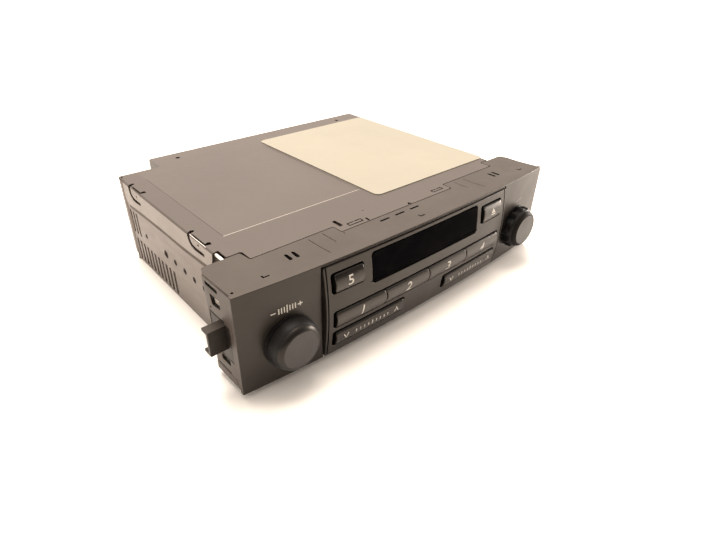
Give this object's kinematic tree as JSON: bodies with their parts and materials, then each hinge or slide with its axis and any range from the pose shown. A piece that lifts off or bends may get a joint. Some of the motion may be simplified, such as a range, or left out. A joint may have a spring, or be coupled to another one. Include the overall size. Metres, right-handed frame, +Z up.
{
  "type": "car radio",
  "caption": "Car radio with cassette deck: folded steel case, bowed winged front, two rotary knobs, keys, rockers and a fold-down display flap.",
  "frame": {"origin": "on the underside of the tray floor, midway across, 80 mm behind the middle of the front face", "axes": "+X to the right seen from the front, +Y to the rear, +Z up"},
  "size_m": [0.216, 0.1657, 0.0507],
  "materials": {
    "cover_steel": "satin",
    "tray_steel": "satin",
    "inner_steel": "satin",
    "shell_plastic": "fine grain",
    "panel_plastic": "fine grain",
    "key_plastic": "satin",
    "smoked_window": "gloss",
    "display": "gloss",
    "knob_rubber": "soft matte",
    "knob_cap": "satin",
    "label_film": "matte film",
    "rubber": "matte",
    "board": "varnished",
    "chip": "matte",
    "aluminium": "extruded",
    "brass": "turned",
    "black_plastic": "matte",
    "tinplate": "satin tinned"
  },
  "bodies": {
    "chassis": {"chassis_tray": "tray_steel", "top_cover": "cover_steel", "label_plate": "label_film", "front_bezel": "shell_plastic", "control_panel": "panel_plastic", "tune_encoder": "aluminium", "volume_encoder": "aluminium", "key_mat": "rubber", "front_board": "board", "main_board": "board", "tuner_can": "tinplate", "controller_chip": "chip", "filter_cap_large": "black_plastic", "filter_cap_small": "black_plastic", "heat_block": "aluminium", "power_amplifier": "chip", "power_speaker_socket": "black_plastic", "changer_socket": "black_plastic", "aerial_socket": "tinplate", "fuse": "black_plastic", "deck_frame": "inner_steel", "drive_motor": "tinplate", "drive_belt": "rubber"},
    "tape_flap": {"tape_flap": "smoked_window", "display_cell": "display"},
    "tune_knob": {"tune_knob": "knob_rubber", "tune_cap": "knob_cap", "tune_shaft": "inner_steel"},
    "volume_knob": {"volume_knob": "knob_rubber", "volume_cap": "knob_cap", "volume_shaft": "inner_steel"},
    "head_slide": {"head_slide": "inner_steel", "tape_head": "tinplate"},
    "assist_key": {"assist_key": "key_plastic"},
    "eject_key": {"eject_key": "key_plastic"},
    "mode_key_1": {"mode_key_1": "key_plastic"},
    "mode_key_2": {"mode_key_2": "key_plastic"},
    "mode_key_3": {"mode_key_3": "key_plastic"},
    "mode_key_4": {"mode_key_4": "key_plastic"},
    "rocker_left": {"rocker_left": "key_plastic"},
    "rocker_right": {"rocker_right": "key_plastic"},
    "side_latch_left": {"side_latch_left": "black_plastic"},
    "side_latch_right": {"side_latch_right": "black_plastic"},
    "tape_carriage": {"tape_carriage": "inner_steel"},
    "spindle_front": {"spindle_front": "black_plastic"},
    "spindle_rear": {"spindle_rear": "black_plastic"},
    "flywheel_front": {"flywheel_front": "brass"},
    "flywheel_rear": {"flywheel_rear": "brass"},
    "motor_pulley": {"motor_pulley": "brass"},
    "pinch_arm_front": {"pinch_arm_front": "inner_steel"},
    "pinch_arm_rear": {"pinch_arm_rear": "inner_steel"},
    "pinch_roller_front": {"pinch_roller_front": "rubber"},
    "pinch_roller_rear": {"pinch_roller_rear": "rubber"}
  },
  "joints": [
    {"name": "assist_key_press", "type": "slide", "parent": "chassis", "child": "assist_key", "axis": [0, 1, 0], "range_m": [0, 0.0012], "stiffness_N_per_m": 200},
    {"name": "eject_key_press", "type": "slide", "parent": "chassis", "child": "eject_key", "axis": [0, 1, 0], "range_m": [0, 0.0012], "stiffness_N_per_m": 200},
    {"name": "mode_key_1_press", "type": "slide", "parent": "chassis", "child": "mode_key_1", "axis": [0, 1, 0], "range_m": [0, 0.0012], "stiffness_N_per_m": 200},
    {"name": "mode_key_2_press", "type": "slide", "parent": "chassis", "child": "mode_key_2", "axis": [0, 1, 0], "range_m": [0, 0.0012], "stiffness_N_per_m": 200},
    {"name": "mode_key_3_press", "type": "slide", "parent": "chassis", "child": "mode_key_3", "axis": [0, 1, 0], "range_m": [0, 0.0012], "stiffness_N_per_m": 200},
    {"name": "mode_key_4_press", "type": "slide", "parent": "chassis", "child": "mode_key_4", "axis": [0, 1, 0], "range_m": [0, 0.0012], "stiffness_N_per_m": 200},
    {"name": "rocker_left_rock", "type": "hinge", "parent": "chassis", "child": "rocker_left", "pos_m": [-0.03625, -0.0769, 0.0116], "axis": [0, 0, 1], "range_deg": [-2.2, 2.2], "stiffness_Nm_per_rad": 0.03},
    {"name": "rocker_right_rock", "type": "hinge", "parent": "chassis", "child": "rocker_right", "pos_m": [0.03555, -0.0769, 0.0116], "axis": [0, 0, 1], "range_deg": [-2.2, 2.2], "stiffness_Nm_per_rad": 0.03},
    {"name": "tape_flap_fold", "type": "hinge", "parent": "chassis", "child": "tape_flap", "pos_m": [0, -0.08115, 0.03365], "axis": [1, 0, 0], "range_deg": [0, 100], "stiffness_Nm_per_rad": 0.002, "springref_deg": -17.19},
    {"name": "tune_knob_turn", "type": "hinge", "parent": "chassis", "child": "tune_knob", "pos_m": [-0.0787, -0.084, 0.0213], "axis": [0, 1, 0], "continuous": true},
    {"name": "volume_knob_turn", "type": "hinge", "parent": "chassis", "child": "volume_knob", "pos_m": [0.0787, -0.084, 0.0213], "axis": [0, 1, 0], "range_deg": [-150, 150]},
    {"name": "side_latch_left_flex", "type": "hinge", "parent": "chassis", "child": "side_latch_left", "pos_m": [-0.09975, -0.0698, 0.0245], "axis": [0, 0, -1], "range_deg": [0, 6], "stiffness_Nm_per_rad": 0.6},
    {"name": "side_latch_right_flex", "type": "hinge", "parent": "chassis", "child": "side_latch_right", "pos_m": [0.09975, -0.0698, 0.0245], "axis": [0, 0, 1], "range_deg": [0, 6], "stiffness_Nm_per_rad": 0.6},
    {"name": "carriage_lower", "type": "slide", "parent": "chassis", "child": "tape_carriage", "axis": [0, 0, -1], "range_m": [0, 0.005], "stiffness_N_per_m": 150, "springref_m": -0.006},
    {"name": "head_slide_in", "type": "slide", "parent": "chassis", "child": "head_slide", "axis": [-1, 0, 0], "range_m": [0, 0.0045], "stiffness_N_per_m": 60, "springref_m": -0.003},
    {"name": "pinch_arm_front_swing", "type": "hinge", "parent": "chassis", "child": "pinch_arm_front", "pos_m": [0.046, -0.034, 0.0289], "axis": [0, 0, -1], "range_deg": [0, 18], "stiffness_Nm_per_rad": 0.01, "springref_deg": -8.59},
    {"name": "pinch_arm_rear_swing", "type": "hinge", "parent": "chassis", "child": "pinch_arm_rear", "pos_m": [0.046, 0.004, 0.0289], "axis": [0, 0, 1], "range_deg": [0, 18], "stiffness_Nm_per_rad": 0.01, "springref_deg": -8.59},
    {"name": "pinch_roller_front_spin", "type": "hinge", "parent": "pinch_arm_front", "child": "pinch_roller_front", "pos_m": [0.041, -0.047, 0.0329], "axis": [0, 0, 1], "continuous": true},
    {"name": "pinch_roller_rear_spin", "type": "hinge", "parent": "pinch_arm_rear", "child": "pinch_roller_rear", "pos_m": [0.041, 0.017, 0.0329], "axis": [0, 0, 1], "continuous": true},
    {"name": "spindle_front_spin", "type": "hinge", "parent": "chassis", "child": "spindle_front", "pos_m": [-0.001, -0.03625, 0.0279], "axis": [0, 0, 1], "continuous": true},
    {"name": "spindle_rear_spin", "type": "hinge", "parent": "chassis", "child": "spindle_rear", "pos_m": [-0.001, 0.00625, 0.0279], "axis": [0, 0, 1], "continuous": true},
    {"name": "flywheel_front_spin", "type": "hinge", "parent": "chassis", "child": "flywheel_front", "pos_m": [0.027, -0.047, 0.0189], "axis": [0, 0, 1], "continuous": true},
    {"name": "flywheel_rear_spin", "type": "hinge", "parent": "chassis", "child": "flywheel_rear", "pos_m": [0.027, 0.017, 0.0189], "axis": [0, 0, 1], "continuous": true},
    {"name": "motor_pulley_spin", "type": "hinge", "parent": "chassis", "child": "motor_pulley", "pos_m": [0.005, 0.056, 0.0189], "axis": [0, 0, 1], "continuous": true}
  ],
  "couplings": [
    {"joint": "flywheel_rear_spin", "follows": "flywheel_front_spin", "ratio": 1},
    {"joint": "motor_pulley_spin", "follows": "flywheel_front_spin", "ratio": 3.3}
  ]
}
